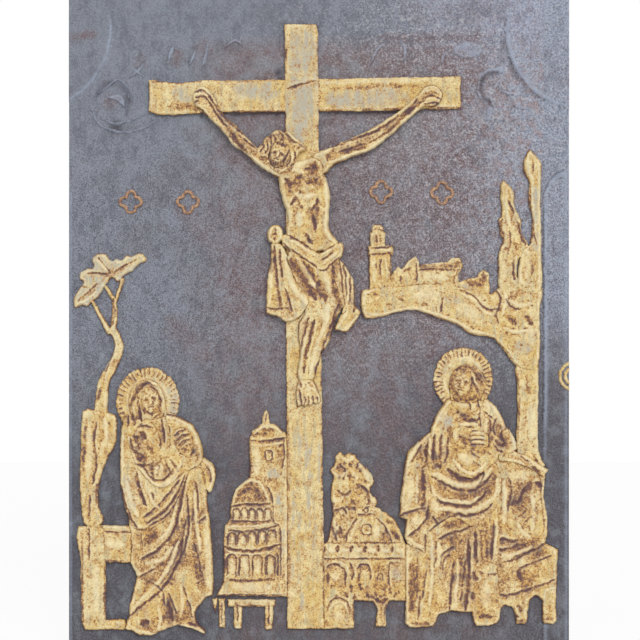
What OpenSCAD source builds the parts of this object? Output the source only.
// Cast-iron stove plate with a gilded devotional relief.
// X runs to the right as the plate is looked at, Z runs up, and the picture faces -Y.
// The origin is the middle of the foot edge, halfway through the plate's thickness.

/* [Plate] */
// Width of the plate
plate_w = 500; // [490:1:620]
// Height of the plate
plate_h = 660; // [640:1:760]
// Thickness of the bare casting
plate_t = 10; // [6:0.5:16]

/* [Border] */
// How far the raised border stands above the field
border_rise = 1.2; // [0.8:0.1:3]
// Height of the border along the top edge
border_top_h = 39; // [20:1:45]
// Width of the border down the right-hand edge
border_right_w = 27; // [12:1:40]
// Width of the border down the left-hand edge
border_left_w = 4; // [3:0.5:4.5]
// Radius of the two scooped corners
corner_r = 84; // [70:1:90]
// How far the scooped corners' centres lie outside the field's sides
corner_out = 29; // [20:0.5:36]
// Middle of the picture field, from the plate's middle
field_x = -10; // [-15:1:0]
// Where the side borders widen, below the plate's top edge
ear_drop = 190; // [160:1:220]
// Height of the curve below each ear
ear_rise = 12; // [6:1:20]
// Width of the right-hand border beside the ear
ear_w = 3; // [2:0.5:6]

/* [Cross] */
// Top of the cross below the plate's top edge
cross_drop = 35; // [20:1:60]
// Axis of the upright at the beam, from the plate's middle
cross_x = -17; // [-20:1:-14]
// Height of the upright's foot above the plate's foot
cross_foot_z = 22; // [12:1:30]
// Width of the upright above the beam
upright_w = 33; // [26:0.5:38]
// Width of the upright at its foot
upright_foot_w = 37; // [30:0.5:38]
// Sideways lean of the upright's foot
upright_lean = 4; // [0:0.5:5]
// Sideways lean of the upright's top
upright_top_lean = 1; // [0:0.5:2]
// Middle of the beam below the top of the cross
beam_drop = 71; // [60:1:80]
// From the plate's left-hand edge to the beam's end
beam_left_gap = 80.5; // [70:0.5:110]
// From the plate's right-hand edge to the beam's end
beam_right_gap = 108.5; // [90:0.5:120]
// Height of the beam across its face
beam_w = 32; // [26:0.5:38]
// Rise of the beam's right end
beam_rise = 3; // [0:0.5:4]
// Fall of the beam's left end
beam_fall = 1; // [0:0.5:3]
// Width of the saw cut across the joint
saw_w = 1.5; // [0.8:0.1:3]
// Depth of the saw cut
saw_depth = 1; // [0.5:0.1:2]
// Relief height of the cross
cross_t = 5; // [3:0.5:7]

/* [Figure] */
// Relief height of the body on the cross
body_t = 10; // [7:0.5:14]
// Extra height of the chest, belly and knees above the body
muscle_t = 1.5; // [0.5:0.5:3]
// Radius of the head on the cross
hung_head_r = 10.4; // [8:0.2:12]
// Height of the hair and folds above what carries them
fold_t = 1.5; // [0.5:0.5:3]
// Step in relief between the body and what lies in front of it or behind it
relief_step = 1; // [0.5:0.25:2]

/* [Mourners] */
// Sideways shift of everything on the left side
left_shift = 0; // [-3:1:2]
// Sideways shift of everything on the right side
right_shift = 0; // [-2:1:3]
// Relief height of the robes
robe_t = 6; // [4:0.5:9]
// Relief height of the mantles
mantle_t = 7.5; // [5:0.5:10]
// Relief height of the chests and sleeves
bust_t = 8.5; // [6:0.5:11]
// Radius of a mourner's head
head_r = 14; // [11:0.5:16]
// How far a head stands above the field
head_t = 10; // [7:0.5:12]
// Half width of the halos
halo_rx = 32; // [26:0.5:34]
// Half height of the halos
halo_ry = 34; // [26:0.5:36]
// Number of rays in a halo
halo_rays = 32; // [16:2:48]
// Length of a halo's rays
ray_len = 3; // [1:0.5:5]
// Relief height of a halo
halo_t = 2.5; // [1.5:0.5:4]
// How much smaller the right-hand halo is
halo_less = 2; // [0:0.5:4]

/* [Landscape] */
// Relief height of rocks, bench and trunks
rock_t = 4.5; // [3:0.5:7]
// Relief height of the leaves
leaf_t = 3; // [2:0.5:5]
// Relief height of the buildings' walls
wall_t = 4.5; // [3:0.5:7]
// Height of arches, bands and other trim above the walls
trim_t = 1.2; // [0.5:0.1:2.5]
// Width of the lines that draw arches and windows
trim_w = 1.8; // [1:0.1:3]
// Height of the bands round the tower and the minaret
band_h = 2; // [1:0.5:3]
// Width of the legs under the tower
leg_w = 8; // [5:0.5:10]
// Sideways shift of the tower
tower_shift = 0; // [-2:1:2]
// Sideways shift of the domed church
church_shift = 0; // [-2:1:2]
// Sideways shift of the hill city
hill_shift = 0; // [-2:1:2]
// Radius of the round windows and of the minaret's cap
round_r = 6; // [4:0.5:8]

/* [Small ornament] */
// Relief height of the worn scrolls
scroll_t = 1.6; // [0.8:0.1:3]
// Width of the worn oval boss at the top
boss_w = 30; // [20:1:34]
// Height of the worn oval boss
boss_h = 18; // [10:1:22]
// Half width of a field rosette
rosette_r = 12; // [10:0.5:14]
// Line width of a field rosette
rosette_line = 2.8; // [1.6:0.1:3]
// Relief height of a field rosette
rosette_t = 2.2; // [1:0.1:4]
// Outer radius of the edge ring
ring_r = 15; // [12:0.5:20]
// Width of each of the edge ring's two rims
ring_rim = 3.4; // [2:0.1:4]
// Space between the two rims
ring_gap = 2; // [1:0.5:3]
// Relief height of the edge ring
ring_t = 2.6; // [1:0.1:4]
// Height of the edge ring above the plate's foot
ring_z = 274; // [240:1:320]
// How far the edge ring's centre lies past the plate's edge
ring_out = 4; // [0:1:8]

/* [Hidden] */
iron = "#6b6e78";
gilt = "#d0b583";
bronze = "#8c6a52";
ground = plate_t / 2;
border_front = ground + border_rise;
cross_front = ground + cross_t;
steps = 4;
round_fn = 48;
finger_w = 2.6;
ear_z = plate_h - ear_drop;
beam_left_end = beam_left_gap - plate_w / 2;
beam_right_end = plate_w / 2 - beam_right_gap;
cross_top = plate_h - cross_drop;
beam_z = cross_top - beam_drop;
arm_t = body_t - relief_step;
wrap_t = body_t + relief_step;
fall_t = body_t - 1.5 * relief_step;
drape_t = body_t - 2 * relief_step;
hands_t = bust_t + relief_step;
right_halo_rx = halo_rx - halo_less;
right_halo_ry = halo_ry - halo_less;
// The ring pressed round a halo, as shares of the halo's own size
rim_outer = [0.68, 0.72];
rim_inner = [0.6, 0.64];

// The picture is drawn on a grid of squares, counted across from the plate's middle and up from
// its foot, and the grid is stretched over the plate. The figure is drawn for a cross whose axis and
// beam meet at this square.
grid = [500, 660];
cell = [plate_w / grid[0], plate_h / grid[1]];
cross_square = [-17, 554];

// Grid squares to millimetres
function spot(p) = [p[0] * cell[0], p[1] * cell[1]];
function on_grid(p) = [for (q = p) spot(q)];

// Curves
function bend(a, b, c, d, t) =
    0.5 * (2 * b + (c - a) * t + (2 * a - 5 * b + 4 * c - d) * t * t + (3 * b - a - 3 * c + d) * t * t * t);
function soft(p) = let(m = len(p))
    [for (i = [0:m - 1]) for (j = [0:steps - 1])
        bend(p[(i + m - 1) % m], p[i], p[(i + 1) % m], p[(i + 2) % m], j / steps)];
function path(p) = let(m = len(p) - 1)
    concat([for (i = [0:m - 1]) for (j = [0:steps - 1])
        bend(p[max(i - 1, 0)], p[i], p[i + 1], p[min(i + 2, m)], j / steps)], [p[m]]);
function across(c, i) = let(d = c[min(i + 1, len(c) - 1)] - c[max(i - 1, 0)]) [-d[1], d[0]] / norm(d);
function ribbon(c, w) = let(m = len(c) - 1)
    concat([for (i = [0:m]) c[i] + across(c, i) * w[0] / 2 + across(c, i) * (w[1] - w[0]) / 2 * i / m],
        [for (i = [m:-1:0]) c[i] - across(c, i) * w[0] / 2 - across(c, i) * (w[1] - w[0]) / 2 * i / m]);
function spindle(c, w) = let(m = len(c) - 1)
    concat([for (i = [0:m]) c[i] + across(c, i) * w * (0.2 + 0.8 * sin(180 * i / m)) / 2],
        [for (i = [m:-1:0]) c[i] - across(c, i) * w * (0.2 + 0.8 * sin(180 * i / m)) / 2]);
function oval(c, rx, ry, n) = [for (i = [0:n - 1]) c + [rx * cos(360 * i / n), ry * sin(360 * i / n)]];

// Shapes drawn on the grid: a round outline, a straight-sided one, a box, a bent limb and a raised fold
module blob(p) polygon(soft(on_grid(p)));
module sided(p) polygon(on_grid(p));
module box(x, z, w, h) sided([[x, z], [x + w, z], [x + w, z + h], [x, z + h]]);
module limb(p, w0, w1) polygon(ribbon(path(on_grid(p)), [w0, w1] * cell[0]));
module fold(p, w) polygon(spindle(path(on_grid(p)), w * cell[0]));

// Builds a flat shape up towards the viewer from a seat at that distance in front of Y = 0
module raised(seat, height) translate([0, -seat, 0]) rotate([90, 0, 0]) linear_extrude(height) children();

// A carved piece: its first child is its face, and its second the folds that stand on that face
module carved(height, rise) {
    raised(ground, height) children(0);
    raised(ground + height, rise) intersection() {
        children(0);
        children(1);
    }
}

// Group places
module on_cross() translate([cross_x, beam_z] - spot(cross_square)) children();
module on_left() translate([left_shift, 0]) children();
module on_right() translate([right_shift, 0]) children();
module on_tower() translate([tower_shift, 0]) children();
module on_church() translate([church_shift, 0]) children();
module on_hill() translate([hill_shift, 0]) children();

// Plate and border
module plate_face() translate([-plate_w / 2, 0]) square([plate_w, plate_h]);
module backplate() color(iron) translate([-plate_w / 2, -plate_t / 2, 0]) cube([plate_w, plate_t, plate_h]);
module top_border_face() difference() {
    intersection() {
        plate_face();
        top_border_outline();
    }
    upright_face();
}
module top_border_outline() {
    translate([-plate_w / 2, plate_h - border_top_h]) square([plate_w, border_top_h]);
    for (side = [-1, 1])
        translate([field_x + side * (plate_w / 2 + corner_out), plate_h - border_top_h])
            circle(r = corner_r, $fn = round_fn);
}
module right_border_face() {
    edge = plate_w / 2;
    inner = edge - border_right_w;
    reach = border_right_w - ear_w;
    difference() {
        polygon([[edge, 0], [inner, 0], [inner, ear_z - 2 * ear_rise],
            [inner + 0.05 * reach, ear_z - ear_rise], [inner + 0.2 * reach, ear_z - 0.2 * ear_rise],
            [inner + 0.5 * reach, ear_z + 0.5 * ear_rise], [edge - ear_w, ear_z + ear_rise],
            [edge - ear_w, plate_h - border_top_h], [edge, plate_h - border_top_h]]);
        top_border_face();
        on_right() right_figure();
        on_right() blob(tall_trunk);
        on_right() long_trunk_face();
    }
}
module left_border_face() difference() {
    translate([-plate_w / 2, 0]) square([border_left_w, ear_z - ear_rise]);
    on_left() blob(leaves);
}
module border_top() color(iron) raised(ground, border_rise) top_border_face();
module border_right() color(iron) raised(ground, border_rise) right_border_face();
module border_left() color(iron) raised(ground, border_rise) left_border_face();

// Cross
module upright_face() polygon([
    [cross_x - upright_top_lean - upright_w / 2, cross_top],
    [cross_x - upright_top_lean + upright_w / 2, cross_top],
    [cross_x + upright_w / 2, beam_z - beam_w / 2],
    [cross_x + upright_lean + upright_foot_w / 2, cross_foot_z],
    [cross_x + upright_lean - upright_foot_w / 2, cross_foot_z],
    [cross_x - upright_w / 2, beam_z - beam_w / 2]]);
module left_beam_face() difference() {
    polygon([[beam_left_end, beam_z - beam_fall - beam_w / 2], [cross_x, beam_z - beam_w / 2],
        [cross_x, beam_z + beam_w / 2], [beam_left_end, beam_z - beam_fall + beam_w / 2]]);
    upright_face();
}
module right_beam_face() difference() {
    polygon([[cross_x, beam_z - beam_w / 2], [beam_right_end, beam_z + beam_rise - beam_w / 2],
        [beam_right_end, beam_z + beam_rise + beam_w / 2], [cross_x, beam_z + beam_w / 2]]);
    upright_face();
}
module cross_face() {
    upright_face();
    left_beam_face();
    right_beam_face();
}
module cross_upright() color(gilt) difference() {
    raised(ground, cross_t) upright_face();
    // The slanted saw cut at the joint
    raised(cross_front - saw_depth, 2 * saw_depth) translate([cross_x, beam_z])
        polygon([[-0.42 * upright_w, 0.22 * beam_w], [0.4 * upright_w, 0.47 * beam_w],
            [0.4 * upright_w, 0.47 * beam_w - saw_w], [-0.42 * upright_w, 0.22 * beam_w - saw_w]]);
}
module cross_beam_left() color(gilt) raised(ground, cross_t) left_beam_face();
module cross_beam_right() color(gilt) raised(ground, cross_t) right_beam_face();

// Figure on the cross
arm_left = [[-126, 553], [-121, 561], [-115, 563], [-110, 560], [-104, 551], [-94, 533], [-84, 525],
    [-67, 507], [-56, 498], [-42, 490], [-38, 472], [-49, 477], [-59, 483], [-76, 498], [-86, 504],
    [-94, 516], [-111, 533], [-118, 540], [-125, 546]];
arm_right = [[-6, 494], [6, 500], [32, 511], [53, 521], [81, 539], [100, 556], [105, 562], [117, 563],
    [123, 557], [121, 546], [113, 542], [103, 541], [86, 527], [63, 507], [51, 499], [32, 492], [14, 484],
    [6, 476], [-6, 480]];
torso = [[-40, 467], [-36, 449], [-32, 434], [-32, 416], [-30, 408], [-14, 402], [4, 398], [19, 406],
    [11, 420], [10, 435], [11, 456], [6, 474], [2, 486], [-6, 492], [-18, 489], [-30, 486], [-38, 478]];
hair = [[-61, 496], [-56, 507], [-49, 514], [-40, 519], [-31, 518], [-23, 511], [-12, 500], [-20, 495],
    [-24, 485], [-29, 477], [-38, 475], [-48, 481], [-53, 490]];
legs = [[-31, 398], [-16, 400], [3, 388], [15, 388], [20, 372], [24, 358], [25, 345], [19, 334], [14, 320],
    [9, 307], [2, 294], [-3, 277], [-6, 270], [-19, 270], [-22, 277], [-19, 297], [-21, 314], [-20, 327],
    [-14, 338], [-12, 352], [-22, 368], [-29, 385]];
feet = [[-19, 270], [-6, 270], [0, 258], [2, 249], [-8, 244], [-21, 243], [-23, 252], [-22, 264]];
wrap = [[-34, 415], [-19, 409], [0, 397], [10, 402], [22, 407], [25, 398], [20, 390], [12, 384], [3, 378],
    [-10, 387], [-25, 397], [-36, 405]];
knot = [[-51, 410], [-50, 421], [-44, 425], [-37, 421], [-36, 411], [-43, 406]];
fall = [[-47, 407], [-48, 387], [-51, 373], [-53, 341], [-51, 336], [-42, 334], [-32, 328], [-22, 331],
    [-15, 338], [-10, 352], [-22, 368], [-30, 386], [-36, 404]];
drape = [[16, 386], [22, 389], [29, 379], [34, 370], [36, 359], [36, 345], [41, 336], [28, 319], [20, 320],
    [16, 322], [25, 344], [21, 362]];
hung_head_at = [-39, 494];

function hung_head_place() = spot(hung_head_at) + [cross_x, beam_z] - spot(cross_square);
module at_hung_head() translate([hung_head_place()[0], -cross_front, hung_head_place()[1]]) children();
// Takes away what the cross already fills
module hung_cut() difference() {
    children();
    raised(ground, cross_t) cross_face();
}
module hung_torso() color(gilt) hung_cut() carved(body_t, muscle_t) {
    on_cross() difference() {
        blob(torso);
        blob(hair);
        blob(wrap);
        blob(knot);
    }
    on_cross() {
        fold([[-30, 476], [-21, 466], [-12, 465]], 12);
        fold([[-8, 466], [2, 470], [4, 480]], 11);
        fold([[-26, 452], [-22, 440], [-22, 428]], 6);
        fold([[-10, 458], [-6, 440], [-4, 420]], 9);
        fold([[6, 452], [6, 440], [3, 426]], 6);
    }
}
module hung_arm_left() color(gilt) hung_cut() carved(arm_t, fold_t) {
    on_cross() difference() {
        blob(arm_left);
        blob(torso);
        blob(hair);
    }
    on_cross() {
        fold([[-108, 540], [-98, 528], [-88, 517]], 4);
        fold([[-84, 514], [-75, 506], [-66, 496]], 8);
        for (finger = [0:3])
            fold([[-114, 551 - finger], [-119, 554 - finger * 3], [-124, 554 - finger * 4]], finger_w);
    }
}
module hung_arm_right() color(gilt) hung_cut() carved(arm_t, fold_t) {
    on_cross() difference() {
        blob(arm_right);
        blob(torso);
    }
    on_cross() {
        fold([[10, 489], [28, 500], [46, 510]], 8);
        fold([[52, 512], [72, 524], [92, 541]], 6);
        for (finger = [0:3])
            fold([[106, 554 - finger * 3], [112, 556 - finger * 3], [118, 555 - finger * 3]], finger_w);
    }
}
module hung_head() color(gilt) {
    // A plain ball stands for the head, cut flat where it lies on the body and the cross
    at_hung_head() intersection() {
        sphere(r = hung_head_r, $fn = round_fn);
        rotate([90, 0, 0]) cylinder(r = hung_head_r * 2, h = hung_head_r, $fn = round_fn);
    }
}
module hung_hair() color(gilt) difference() {
    union() {
        hung_cut() raised(ground, body_t) on_cross() blob(hair);
        raised(ground + body_t, fold_t) on_cross() {
            fold([[-57, 498], [-50, 508], [-42, 514]], 4);
            fold([[-42, 514], [-32, 515], [-22, 508]], 4);
            fold([[-27, 504], [-20, 503], [-14, 500]], 4);
            fold([[-26, 498], [-25, 488], [-30, 480]], 4);
        }
    }
    at_hung_head() rotate([90, 0, 0]) cylinder(r = hung_head_r, h = hung_head_r, $fn = round_fn);
}
module hung_legs() color(gilt) hung_cut() carved(body_t, muscle_t) {
    on_cross() difference() {
        blob(legs);
        blob(torso);
        blob(wrap);
        blob(fall);
        blob(drape);
        blob(feet);
    }
    on_cross() {
        fold([[0, 372], [8, 358], [12, 344]], 8);
        fold([[4, 336], [-4, 314], [-10, 288]], 9);
    }
}
module hung_feet() color(gilt) hung_cut() carved(arm_t, fold_t) {
    on_cross() blob(feet);
    on_cross()
        for (toe = [0:4])
            fold([[-16 + toe * 3, 260 + toe], [-18 + toe * 4, 253], [-19 + toe * 4.3, 247 + toe]], finger_w);
}
module loincloth_wrap() color(gilt) hung_cut() carved(wrap_t, fold_t) {
    on_cross() blob(wrap);
    on_cross() {
        fold([[-30, 408], [-14, 398], [2, 388]], 4);
        fold([[-28, 401], [-12, 391], [2, 382]], 3);
        fold([[4, 390], [12, 396], [21, 402]], 3.5);
    }
}
module loincloth_knot() color(gilt) hung_cut() raised(ground, wrap_t) on_cross() difference() {
    blob(knot);
    blob(wrap);
}
module loincloth_fall() color(gilt) hung_cut() carved(fall_t, fold_t) {
    on_cross() difference() {
        blob(fall);
        blob(wrap);
        blob(knot);
        blob(torso);
    }
    on_cross() {
        fold([[-45, 404], [-45, 375], [-48, 342]], 4);
        fold([[-40, 403], [-39, 370], [-37, 338]], 4);
        fold([[-35, 392], [-30, 368], [-26, 340]], 4);
    }
}
module loincloth_drape() color(gilt) hung_cut() carved(drape_t, fold_t) {
    on_cross() difference() {
        blob(drape);
        blob(wrap);
        blob(torso);
    }
    on_cross() {
        fold([[21, 384], [28, 362], [29, 338]], 3);
        fold([[26, 380], [33, 360], [32, 336]], 3);
    }
}

// Left side: tree, rock pillar and bench
leaves = [[-245, 347], [-243, 342], [-237, 345], [-227, 348], [-220, 353], [-213, 365], [-206, 372],
    [-199, 369], [-195, 374], [-186, 379], [-173, 390], [-180, 397], [-191, 395], [-200, 390], [-206, 389],
    [-213, 396], [-221, 396], [-226, 391], [-225, 383], [-232, 380], [-239, 371], [-233, 369], [-238, 362]];
pillar = [[-237, 143], [-239, 168], [-238, 201], [-237, 234], [-233, 240], [-228, 241], [-204, 235],
    [-202, 223], [-204, 204], [-212, 190], [-219, 168], [-220, 145], [-215, 130], [-222, 124], [-234, 126]];
post = [[-240, 124], [-215, 124], [-213, 90], [-213, 32], [-194, 31], [-190, 21], [-234, 21], [-237, 30],
    [-238, 93], [-242, 112]];
module bench_face() box(-221, 88, 60, 37);
module trunk_face() {
    limb([[-208, 323], [-200, 308], [-201, 296], [-208, 281], [-215, 267], [-217, 250], [-218, 236]], 7, 14);
    limb([[-227, 350], [-219, 335], [-208, 316]], 3, 6);
    limb([[-214, 364], [-206, 352], [-204, 340], [-206, 316]], 3, 6);
    limb([[-196, 372], [-199, 361], [-205, 343]], 4, 4);
}
module tree_leaves() color(gilt) carved(leaf_t, trim_t) {
    on_left() blob(leaves);
    on_left() {
        fold([[-238, 348], [-228, 358], [-216, 368]], 4);
        fold([[-232, 374], [-222, 376], [-212, 376]], 4);
        fold([[-220, 392], [-214, 384], [-208, 378]], 4);
        fold([[-206, 378], [-194, 386], [-182, 391]], 5);
    }
}
module tree_trunk() color(gilt) raised(ground, rock_t) difference() {
    on_left() trunk_face();
    on_left() blob(leaves);
    on_left() blob(pillar);
}
module rock_pillar() color(gilt) raised(ground, rock_t) difference() {
    on_left() blob(pillar);
    on_left() left_halo_face();
    on_left() left_outline();
}
module bench() color(gilt) carved(rock_t, trim_t) {
    difference() {
        on_left() bench_face();
        on_left() blob(pillar);
        on_left() sided(post);
        on_left() left_outline();
    }
    difference() {
        on_left() box(-213, 118, 30, 3);
        on_left() left_outline();
    }
}
module bench_post() color(gilt) raised(ground, rock_t) difference() {
    on_left() sided(post);
    on_left() blob(pillar);
    on_left() left_outline();
    on_left() box(-213, 31, 35, 50);
}

// Left mourner
left_halo_at = [-171, 248];
left_head_at = [-172, 249];
left_bust_line = [[-196, 229], [-184, 238], [-160, 238], [-136, 232], [-124, 223], [-118, 209], [-116, 192],
    [-124, 183], [-134, 179], [-145, 169], [-157, 163], [-171, 172], [-182, 188], [-190, 210]];
left_mantle_line = [[-196, 228], [-198, 201], [-198, 176], [-197, 158], [-191, 136], [-181, 121],
    [-163, 125], [-148, 136], [-138, 158], [-130, 180], [-140, 178], [-157, 169], [-171, 178], [-183, 194],
    [-191, 214]];
left_robe_line = [[-190, 134], [-160, 160], [-136, 182], [-124, 190], [-114, 188], [-112, 157], [-110, 137],
    [-107, 110], [-105, 71], [-106, 56], [-112, 54], [-120, 45], [-124, 38], [-122, 29], [-113, 20], [-114, 16],
    [-125, 22], [-141, 26], [-152, 22], [-168, 15], [-179, 16], [-186, 20], [-194, 22], [-190, 34],
    [-189, 47], [-184, 65], [-181, 74], [-188, 88], [-187, 108]];
left_cuff_line = [[-118, 193], [-108, 188], [-103, 180], [-104, 168], [-109, 158], [-114, 168]];
left_hands_line = [[-145, 214], [-141, 221], [-134, 222], [-128, 217], [-126, 205], [-130, 195], [-140, 200]];
module left_halo_face() halo_face(spot(left_halo_at), halo_rx, halo_ry);
module left_outline() {
    sided(left_robe_line);
    blob(left_mantle_line);
    blob(left_bust_line);
    blob(left_cuff_line);
}
// A halo is an oval whose rim is cut into rays
module halo_face(at, rx, ry)
    polygon([for (i = [0:2 * halo_rays - 1]) at + [
        (rx - (i % 2) * ray_len) * cos(180 * i / halo_rays),
        (ry - (i % 2) * ray_len) * sin(180 * i / halo_rays)]]);
module halo_rim(at, rx, ry) difference() {
    polygon(oval(at, rx * rim_outer[0], ry * rim_outer[1], round_fn));
    polygon(oval(at, rx * rim_inner[0], ry * rim_inner[1], round_fn));
}
// A head is a cap of a ball standing on the field
module head_cap(at) translate([at[0], -ground, at[1]]) intersection() {
    translate([0, head_r - head_t, 0]) sphere(r = head_r, $fn = round_fn);
    rotate([90, 0, 0]) cylinder(r = head_r * 2, h = head_r * 2, $fn = round_fn);
}
module head_face(at) translate(at)
    circle(r = sqrt(head_r * head_r - (head_r - head_t) * (head_r - head_t)), $fn = round_fn);
function left_head_place() = spot(left_head_at) + [left_shift, 0];
function right_head_place() = spot(right_head_at) + [right_shift, 0];
module left_halo() color(gilt) carved(halo_t, trim_t) {
    difference() {
        on_left() left_halo_face();
        on_left() left_outline();
        on_left() trunk_face();
        head_face(left_head_place());
    }
    difference() {
        on_left() halo_rim(spot(left_halo_at), halo_rx, halo_ry);
        on_left() left_outline();
        head_face(left_head_place());
    }
}
module left_head() color(gilt) difference() {
    head_cap(left_head_place());
    raised(ground, bust_t + fold_t) on_left() left_outline();
}
module left_bust() color(gilt) carved(bust_t, fold_t) {
    on_left() difference() {
        blob(left_bust_line);
        blob(left_hands_line);
    }
    on_left() {
        fold([[-186, 220], [-182, 202], [-170, 186]], 6);
        fold([[-170, 224], [-166, 204], [-158, 184]], 4);
        fold([[-156, 222], [-154, 204], [-150, 188]], 4);
        fold([[-168, 180], [-156, 174], [-142, 182]], 4);
        fold([[-124, 212], [-121, 202], [-121, 194]], 4);
    }
}
module left_hands() color(gilt) carved(hands_t, fold_t) {
    on_left() blob(left_hands_line);
    on_left()
        for (finger = [0:3])
            fold([[-142, 210 - finger * 4], [-136, 213 - finger * 4], [-130, 216 - finger * 4]], finger_w);
}
module left_mantle() color(gilt) carved(mantle_t, fold_t) {
    on_left() difference() {
        blob(left_mantle_line);
        blob(left_bust_line);
    }
    on_left() {
        fold([[-193, 190], [-190, 160], [-182, 136]], 5);
        fold([[-178, 128], [-158, 136], [-141, 160]], 4);
        fold([[-176, 136], [-160, 148], [-146, 164]], 4);
    }
}
module left_cuff() color(gilt) raised(ground, bust_t) on_left() difference() {
    blob(left_cuff_line);
    blob(left_bust_line);
}
module left_robe() color(gilt) carved(robe_t, fold_t) {
    on_left() difference() {
        sided(left_robe_line);
        blob(left_mantle_line);
        blob(left_bust_line);
        blob(left_cuff_line);
    }
    on_left() {
        fold([[-178, 92], [-152, 108], [-132, 140], [-126, 164]], 4);
        fold([[-186, 30], [-162, 52], [-140, 82], [-126, 120], [-122, 160]], 5);
        fold([[-172, 24], [-150, 48], [-134, 80]], 5);
        fold([[-128, 24], [-140, 46], [-142, 66]], 4);
        fold([[-118, 22], [-130, 44], [-132, 66]], 4);
        fold([[-118, 118], [-116, 90], [-112, 62]], 4);
    }
}

// Left tower
tower_body = [[-69, 173], [-78, 166], [-84, 160], [-88, 146], [-88, 132], [-94, 124], [-95, 104], [-95, 75],
    [-96, 68], [-102, 55], [-28, 54], [-28, 173]];
module tower_finial_face() sided([[-57, 226], [-56, 236], [-53, 241], [-50, 237], [-49, 226]]);
module tower_lantern_face() {
    sided([[-69, 173], [-69, 211], [-67, 219], [-58, 226], [-44, 226], [-34, 218], [-31, 211], [-31, 173]]);
}
// A round-headed arch in a raised line, from the grid square at the left of its foot
module arch_line(x, z, w, h) translate(spot([x, z])) {
    span = w * cell[0];
    rise = h * cell[1] - span / 2;
    difference() {
        square([span, rise]);
        translate([trim_w / 2, 0]) square([span - trim_w, rise]);
    }
    translate([span / 2, rise]) intersection() {
        difference() {
            circle(r = span / 2, $fn = round_fn);
            circle(r = span / 2 - trim_w / 2, $fn = round_fn);
        }
        translate([-span / 2, 0]) square([span, span]);
    }
}
module tower_finial() color(gilt) raised(ground, wall_t) on_tower() difference() {
    tower_finial_face();
    tower_lantern_face();
}
module tower_lantern() color(gilt) carved(wall_t, trim_t) {
    difference() {
        on_tower() tower_lantern_face();
        cross_face();
    }
    on_tower() {
        box(-68, 208, 32, band_h);
        arch_line(-55, 180, 9, 20);
        box(-52, 190, 4, 4);
    }
}
module tower_rotunda() color(gilt) carved(wall_t, trim_t) {
    difference() {
        on_tower() sided(tower_body);
        cross_face();
    }
    on_tower() {
        box(-87, 144, 42, band_h);
        box(-93, 123, 50, band_h);
        box(-94, 102, 52, band_h);
        for (bay = [0:4]) arch_line(-84 + bay * 8, 131, 6, 11);
        for (bay = [0:4]) arch_line(-90 + bay * 9, 107, 7, 13);
        for (bay = [0:2]) arch_line(-78 + bay * 13, 73, 10, 24);
    }
}
module tower_table() color(gilt) raised(ground, wall_t) difference() {
    on_tower() {
        box(-91, 44, 48, 7);
        box(-85, 22, leg_w, 23);
        box(-54, 21, leg_w, 24);
        box(-100, 23, 6, 29);
        sided([[-107, 52], [-101, 52], [-103, 36]]);
    }
    on_left() left_outline();
}

// Domed church
bush = [[21, 198], [16, 192], [12, 180], [14, 168], [12, 154], [14, 134], [12, 118], [7, 106], [30, 106],
    [44, 120], [58, 148], [54, 162], [56, 171], [48, 182], [39, 188], [30, 196]];
dome = [[24, 107], [30, 122], [38, 134], [56, 134], [62, 139], [74, 133], [80, 121], [86, 107]];
lantern = [[36, 139], [44, 145], [60, 142], [62, 139], [56, 134], [38, 134]];
module church_wall_face() {
    box(2, 22, 33, 69);
    box(35, 50, 51, 41);
    box(57, 24, 10, 27);
}
module church_parapet_face() box(2, 91, 84, 16);
module church_bush() color(gilt) raised(ground, rock_t) difference() {
    on_church() blob(bush);
    on_church() sided(dome);
    on_church() sided(lantern);
    on_church() church_parapet_face();
    cross_face();
}
module church_lantern() color(gilt) raised(ground, wall_t) on_church() difference() {
    sided(lantern);
    sided(dome);
}
module church_dome() color(gilt) carved(wall_t, trim_t) {
    on_church() sided(dome);
    on_church() translate(spot([47, 121])) difference() {
        circle(r = round_r, $fn = round_fn);
        circle(r = round_r - trim_w, $fn = round_fn);
    }
}
module church_parapet() color(gilt) carved(wall_t, trim_t) {
    difference() {
        on_church() church_parapet_face();
        cross_face();
        on_right() right_figure();
    }
    on_church()
        for (bay = [0:4]) arch_line(12 + bay * 13.5, 93, 7, 10);
}
module church_wall() color(gilt) carved(wall_t, trim_t) {
    difference() {
        on_church() church_wall_face();
        cross_face();
        on_right() right_figure();
    }
    on_church() {
        arch_line(8, 62, 17, 24);
        arch_line(41, 56, 20, 30);
        difference() {
            box(70, 63, 15, 23);
            box(72, 65, 13, 19);
        }
        arch_line(10, 30, 18, 20);
    }
}

// Hill city, rock arch and trunks
houses = [[72, 371], [79, 384], [83, 381], [95, 395], [100, 385], [128, 388], [133, 392], [140, 392],
    [144, 384], [139, 375], [139, 362], [72, 362]];
far_house = [[139, 368], [160, 371], [163, 380], [169, 377], [171, 356], [158, 340], [139, 352]];
arch = [[42, 357], [45, 333], [60, 333], [77, 337], [95, 340], [119, 332], [137, 326], [151, 316], [172, 312],
    [184, 301], [197, 285], [219, 285], [220, 335], [222, 363], [200, 366], [182, 364], [171, 356],
    [150, 360], [120, 366], [75, 363], [52, 361]];
short_trunk = [[184, 469], [181, 460], [182, 435], [179, 430], [181, 416], [184, 410], [180, 399], [179, 383],
    [181, 360], [198, 360], [197, 376], [199, 390], [207, 398], [209, 404], [202, 419], [201, 430],
    [195, 443], [195, 454], [191, 463]];
tall_trunk = [[210, 500], [205, 490], [205, 478], [210, 466], [209, 450], [213, 430], [211, 407], [203, 397],
    [199, 380], [200, 360], [221, 360], [222, 400], [221, 456], [222, 483], [219, 491]];
module long_trunk_face() difference() {
    sided([[197, 287], [219, 287], [219, 200], [226, 184], [200, 184], [197, 205]]);
    blob(arch);
    right_figure();
}
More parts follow.
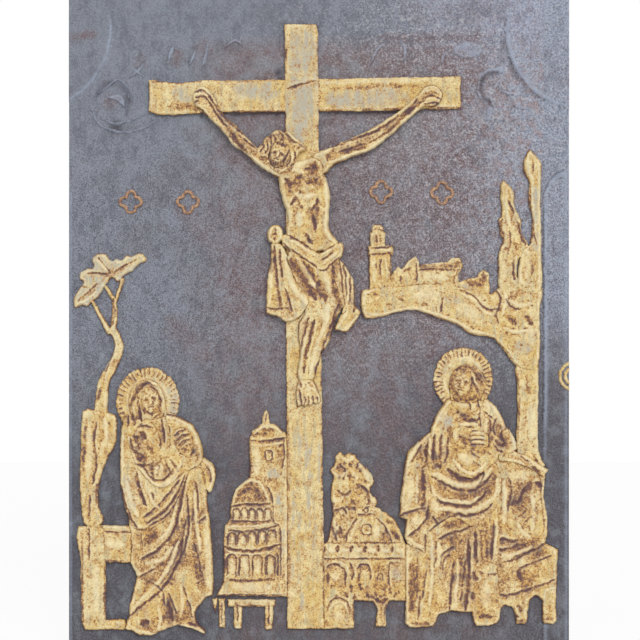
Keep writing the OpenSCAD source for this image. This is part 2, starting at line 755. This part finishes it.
module minaret_face() {
    box(51, 400, 15, 17.5);
    translate(spot([58.5, 419.8])) circle(r = round_r, $fn = round_fn);
    box(49, 395, 25, 9);
    box(50, 361, 22, 35);
}
module arch_face() difference() {
    blob(arch);
    blob(short_trunk);
    blob(tall_trunk);
}
module minaret() color(gilt) carved(wall_t, trim_t) {
    difference() {
        on_hill() minaret_face();
        on_right() blob(arch);
    }
    on_hill() {
        box(50, 401, 22, band_h);
        box(50, 395, 22, band_h);
        arch_line(53, 372, 8, 16);
    }
}
module hill_houses() color(gilt) raised(ground, wall_t) difference() {
    on_hill() {
        sided(houses);
        sided(far_house);
    }
    on_hill() minaret_face();
    on_right() blob(arch);
}
module rock_arch() color(gilt) carved(rock_t, trim_t) {
    difference() {
        on_right() arch_face();
        on_cross() blob(drape);
    }
    on_right() {
        fold([[62, 356], [96, 352], [134, 350]], 5);
        fold([[148, 344], [168, 336], [186, 330]], 5);
        fold([[176, 352], [190, 330], [204, 306]], 5);
    }
}
module dead_trunk_short() color(gilt) carved(rock_t, trim_t) {
    on_right() difference() {
        blob(short_trunk);
        blob(tall_trunk);
    }
    on_right() {
        fold([[187, 456], [188, 430], [192, 404]], 4);
        fold([[190, 402], [188, 384], [189, 368]], 4);
    }
}
module dead_trunk_tall() color(gilt) carved(rock_t, trim_t) {
    on_right() blob(tall_trunk);
    on_right() fold([[213, 488], [216, 440], [212, 376]], 4);
}
module long_trunk() color(gilt) raised(ground, rock_t) on_right() long_trunk_face();

// Right mourner and the rock that carries the arm
right_halo_at = [145, 270];
right_head_at = [148, 268];
right_bust_line = [[111, 219], [119, 237], [128, 251], [145, 256], [164, 252], [179, 240], [186, 225],
    [197, 207], [196, 200], [180, 195], [174, 188], [162, 178], [151, 173], [139, 178], [128, 186],
    [112, 178], [108, 200]];
right_hands_line = [[133, 220], [140, 224], [152, 222], [166, 218], [167, 205], [156, 203], [142, 204],
    [134, 210]];
right_fall_line = [[111, 219], [94, 205], [87, 192], [84, 170], [81, 134], [87, 131], [87, 107], [106, 98],
    [110, 142], [112, 182], [112, 200]];
right_mantle_line = [[108, 178], [128, 186], [139, 178], [151, 172], [162, 178], [174, 188], [181, 172],
    [180, 153], [175, 142], [162, 132], [152, 125], [133, 134], [107, 119], [109, 145]];
right_robe_line = [[106, 98], [108, 122], [133, 138], [152, 130], [162, 136], [178, 148], [180, 110],
    [177, 88], [181, 42], [180, 26], [155, 24], [154, 32], [150, 40], [144, 38], [132, 40], [128, 36],
    [119, 36], [117, 27], [87, 24], [86, 48], [86, 107]];
right_rock_line = [[178, 150], [178, 172], [172, 193], [192, 196], [226, 176], [224, 153], [228, 115],
    [226, 105], [233, 103], [238, 101], [238, 82], [237, 61], [236, 50], [237, 27], [223, 27], [223, 50],
    [215, 56], [210, 50], [208, 33], [209, 27], [196, 26], [194, 43], [186, 46], [181, 42], [177, 88],
    [180, 110]];
module right_forearm_face() limb([[180, 196], [194, 194], [210, 188], [226, 177]], 12, 8);
module right_figure() {
    sided(right_robe_line);
    sided(right_rock_line);
    sided(right_fall_line);
    blob(right_mantle_line);
    blob(right_bust_line);
    right_forearm_face();
}
module right_halo() color(gilt) carved(halo_t, trim_t) {
    difference() {
        on_right() halo_face(spot(right_halo_at), right_halo_rx, right_halo_ry);
        on_right() right_figure();
        head_face(right_head_place());
    }
    difference() {
        on_right() halo_rim(spot(right_halo_at), right_halo_rx, right_halo_ry);
        on_right() right_figure();
        head_face(right_head_place());
    }
}
module right_head() color(gilt) difference() {
    head_cap(right_head_place());
    raised(ground, bust_t + fold_t) on_right() right_figure();
}
module right_bust() color(gilt) carved(bust_t, fold_t) {
    on_right() difference() {
        blob(right_bust_line);
        blob(right_hands_line);
    }
    on_right() {
        fold([[116, 210], [120, 196], [118, 184]], 5);
        fold([[126, 212], [130, 200], [126, 190]], 4);
        fold([[170, 236], [176, 220], [182, 204]], 5);
        fold([[180, 230], [188, 216], [190, 204]], 4);
        fold([[132, 240], [142, 232], [156, 232]], 4);
    }
}
module right_hands() color(gilt) carved(hands_t, fold_t) {
    on_right() blob(right_hands_line);
    on_right()
        for (finger = [0:3])
            fold([[148, 219 - finger * 4], [156, 219 - finger * 4], [163, 217 - finger * 3.5]], finger_w);
}
module right_mantle() color(gilt) carved(mantle_t, fold_t) {
    on_right() difference() {
        blob(right_mantle_line);
        blob(right_bust_line);
        sided(right_fall_line);
    }
    on_right() {
        fold([[114, 172], [134, 160], [154, 158], [168, 170]], 5);
        fold([[114, 156], [134, 146], [156, 146], [174, 162]], 5);
        fold([[112, 128], [136, 138], [158, 138], [174, 150]], 4);
    }
}
module right_fall() color(gilt) carved(mantle_t, fold_t) {
    on_right() difference() {
        sided(right_fall_line);
        blob(right_bust_line);
    }
    on_right() {
        fold([[102, 204], [94, 180], [88, 146]], 5);
        fold([[104, 176], [102, 146], [92, 116]], 4);
    }
}
module right_forearm() color(gilt) raised(ground, bust_t) on_right() difference() {
    right_forearm_face();
    blob(right_bust_line);
    blob(right_mantle_line);
}
module right_robe() color(gilt) carved(robe_t, fold_t) {
    on_right() difference() {
        sided(right_robe_line);
        blob(right_mantle_line);
        sided(right_fall_line);
        sided(right_rock_line);
    }
    on_right() {
        fold([[118, 116], [112, 80], [100, 34]], 5);
        fold([[136, 126], [134, 90], [124, 44]], 5);
        fold([[150, 120], [150, 84], [146, 46]], 5);
        fold([[166, 124], [166, 90], [168, 34]], 5);
    }
}
module right_rock() color(gilt) carved(rock_t, trim_t) {
    on_right() difference() {
        sided(right_rock_line);
        blob(right_bust_line);
        blob(right_mantle_line);
        right_forearm_face();
    }
    on_right() {
        fold([[188, 88], [206, 94], [224, 102]], 4);
        fold([[180, 58], [206, 60], [232, 74]], 4);
        fold([[192, 176], [204, 158], [216, 136]], 5);
        fold([[186, 152], [192, 130], [204, 116]], 5);
    }
}

// Small ornament, worn flat
rosette_x = [-188, -131, 62, 123];
rosette_z = [448, 448, 458, 457];
module worn_mark() raised(ground, scroll_t) difference() {
    children();
    cross_face();
    top_border_face();
}
module scroll_left() color(iron) worn_mark() {
    limb([[-224, 537], [-206, 516], [-174, 523], [-152, 532]], 3, 3);
    fold([[-192, 570], [-180, 580], [-174, 588]], 5);
    limb([[-222, 560], [-210, 574], [-192, 566], [-184, 546]], 3, 2);
    fold([[-212, 552], [-200, 552], [-194, 542]], 9);
}
module scroll_right() color(iron) worn_mark() {
    limb([[184, 581], [167, 575], [161, 558], [171, 545], [169, 528]], 6, 4);
    fold([[178, 561], [188, 557], [196, 556]], 5);
    fold([[192, 545], [204, 542], [214, 542]], 4);
}
module crest_left() color(iron) worn_mark() {
    fold([[-151, 587], [-148, 598], [-144, 607]], 5);
    fold([[-130, 584], [-126, 593], [-123, 601]], 5);
    fold([[-118, 580], [-114, 592], [-111, 607]], 5);
    fold([[-96, 600], [-84, 610], [-72, 600]], 5);
}
module crest_right() color(iron) worn_mark() {
    fold([[50, 580], [58, 600], [74, 612]], 5);
    fold([[84, 584], [86, 600], [80, 614]], 5);
    fold([[124, 584], [124, 592], [128, 600]], 5);
    polygon(oval(spot([149, 600]), boss_w / 2, boss_h / 2, round_fn));
}
// Four lobes drawn in a raised line, open at their middle
module lobes(r)
    for (turn = [0:3]) rotate(turn * 90) translate([rosette_r / 2, 0]) circle(r = r, $fn = round_fn);
module rosette() difference() {
    lobes(rosette_r / 2);
    lobes(rosette_r / 2 - rosette_line);
    circle(r = rosette_r / sqrt(2) - rosette_line, $fn = round_fn);
}
module field_rosettes() color(bronze) raised(ground, rosette_t)
    for (i = [0:3]) translate(spot([rosette_x[i], rosette_z[i]])) rosette();
module edge_ring() color(gilt) raised(border_front, ring_t) intersection() {
    plate_face();
    translate([plate_w / 2 + ring_out, ring_z])
        for (r = [ring_r, ring_r - ring_rim - ring_gap]) difference() {
            circle(r = r, $fn = round_fn);
            circle(r = r - ring_rim, $fn = round_fn);
        }
}

backplate();
border_top();
border_right();
border_left();
cross_upright();
cross_beam_left();
cross_beam_right();
hung_arm_left();
hung_arm_right();
hung_torso();
hung_head();
hung_hair();
hung_legs();
hung_feet();
loincloth_wrap();
loincloth_knot();
loincloth_fall();
loincloth_drape();
tree_leaves();
tree_trunk();
rock_pillar();
bench();
bench_post();
left_halo();
left_head();
left_bust();
left_hands();
left_mantle();
left_cuff();
left_robe();
tower_finial();
tower_lantern();
tower_rotunda();
tower_table();
church_bush();
church_lantern();
church_dome();
church_parapet();
church_wall();
minaret();
hill_houses();
rock_arch();
dead_trunk_short();
dead_trunk_tall();
long_trunk();
right_halo();
right_head();
right_bust();
right_hands();
right_mantle();
right_fall();
right_forearm();
right_robe();
right_rock();
scroll_left();
scroll_right();
crest_left();
crest_right();
field_rosettes();
edge_ring();
